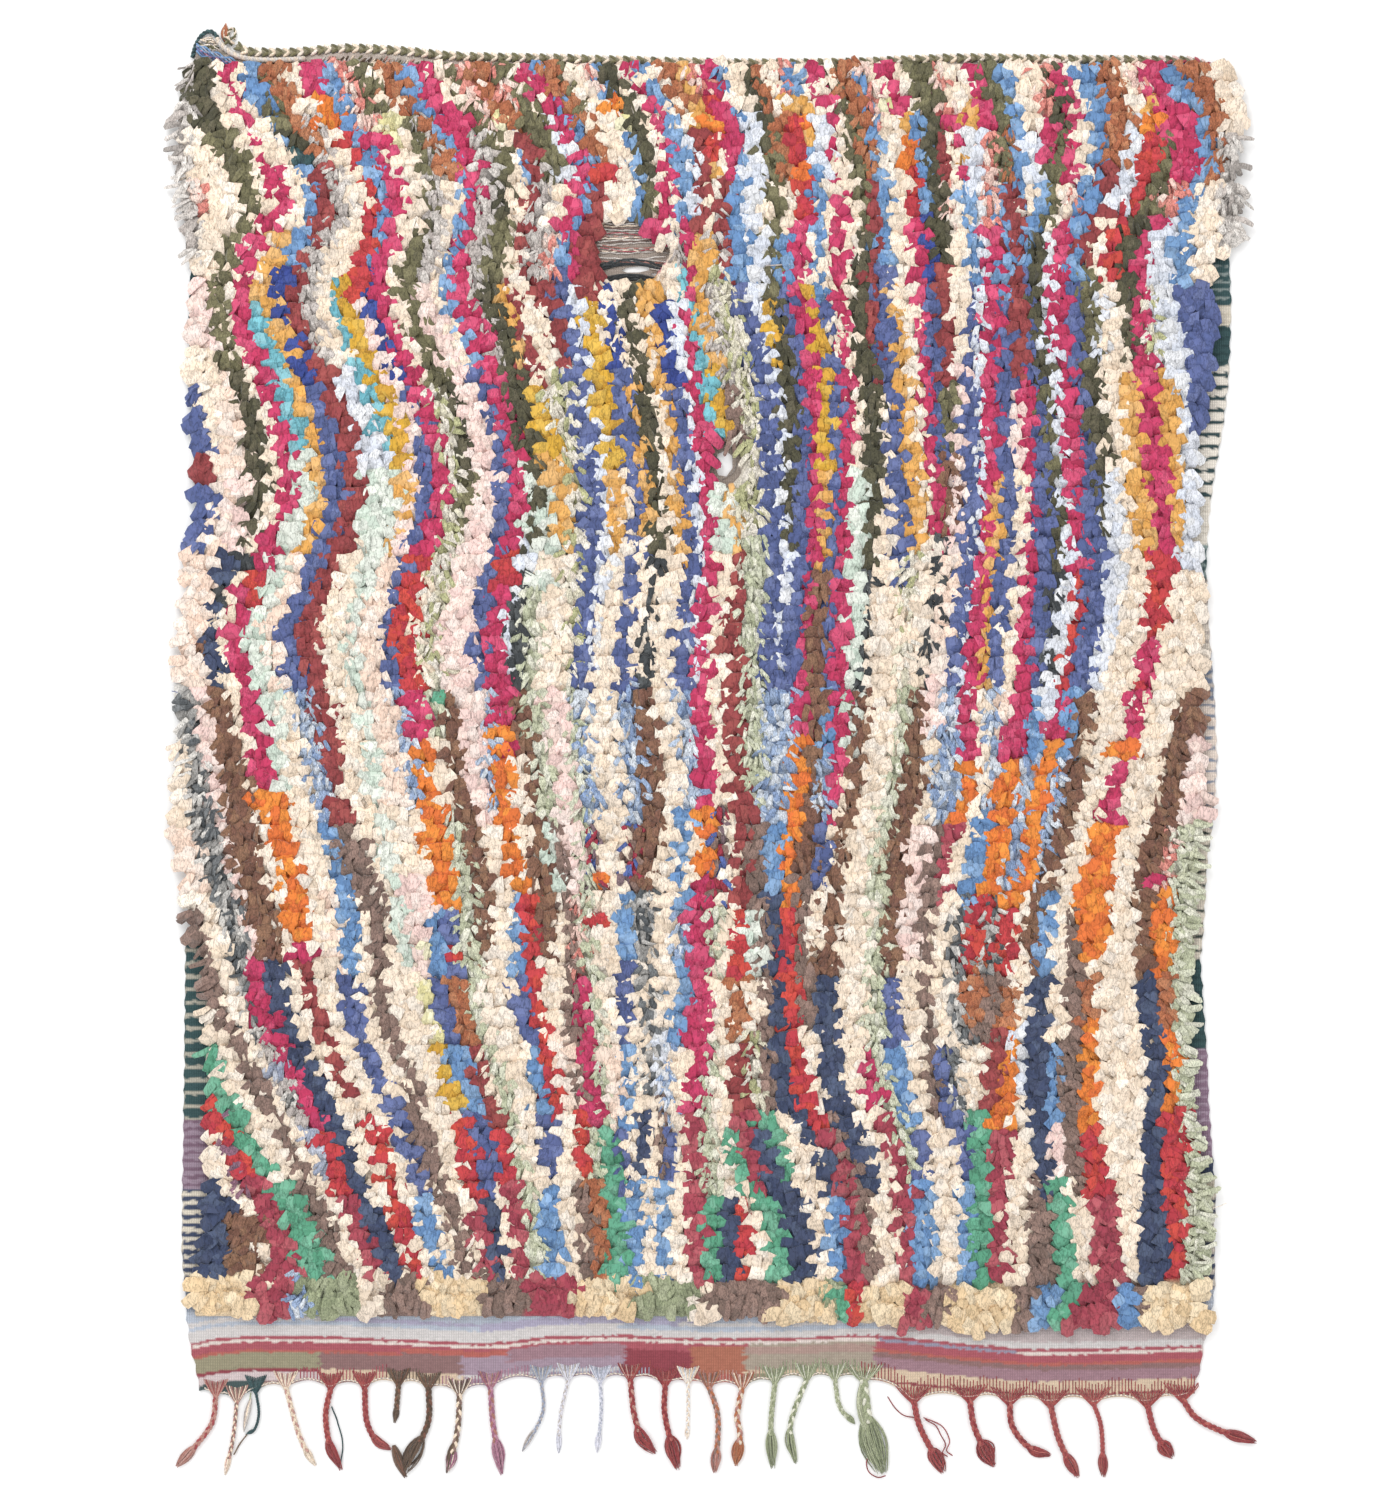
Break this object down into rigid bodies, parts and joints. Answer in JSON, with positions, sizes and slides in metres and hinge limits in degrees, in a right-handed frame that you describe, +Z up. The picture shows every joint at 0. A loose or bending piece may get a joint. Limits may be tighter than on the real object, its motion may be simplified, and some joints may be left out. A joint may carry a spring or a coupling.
{
  "type": "boucherouite rug",
  "caption": "Flat rag-pile rug with a braided top edge, bare side selvedges, a flat-woven end and a plaited tassel fringe.",
  "frame": {"origin": "middle of the rug's plan, on the surface it lies on", "axes": "+Z up out of the pile, +Y up the rug towards its braided edge, +X to the right when seen from above"},
  "size_m": [1.6845, 2.2604, 0.029],
  "materials": {
    "rag_pile": "cut cotton rag pile, matte and crumpled, on a flat-woven ground",
    "edge_yarn": "plied wool braid in cream and olive, matte",
    "tie_yarn": "dark plied cord with a short cut tuft, matte",
    "fringe_yarn": "plaited and twisted warp ends with brushed-out tufts, matte"
  },
  "bodies": {
    "root": {"rug_body": "rag_pile", "top_braid": "edge_yarn", "corner_knot": "tie_yarn", "fringe": "fringe_yarn"}
  },
  "joints": []
}
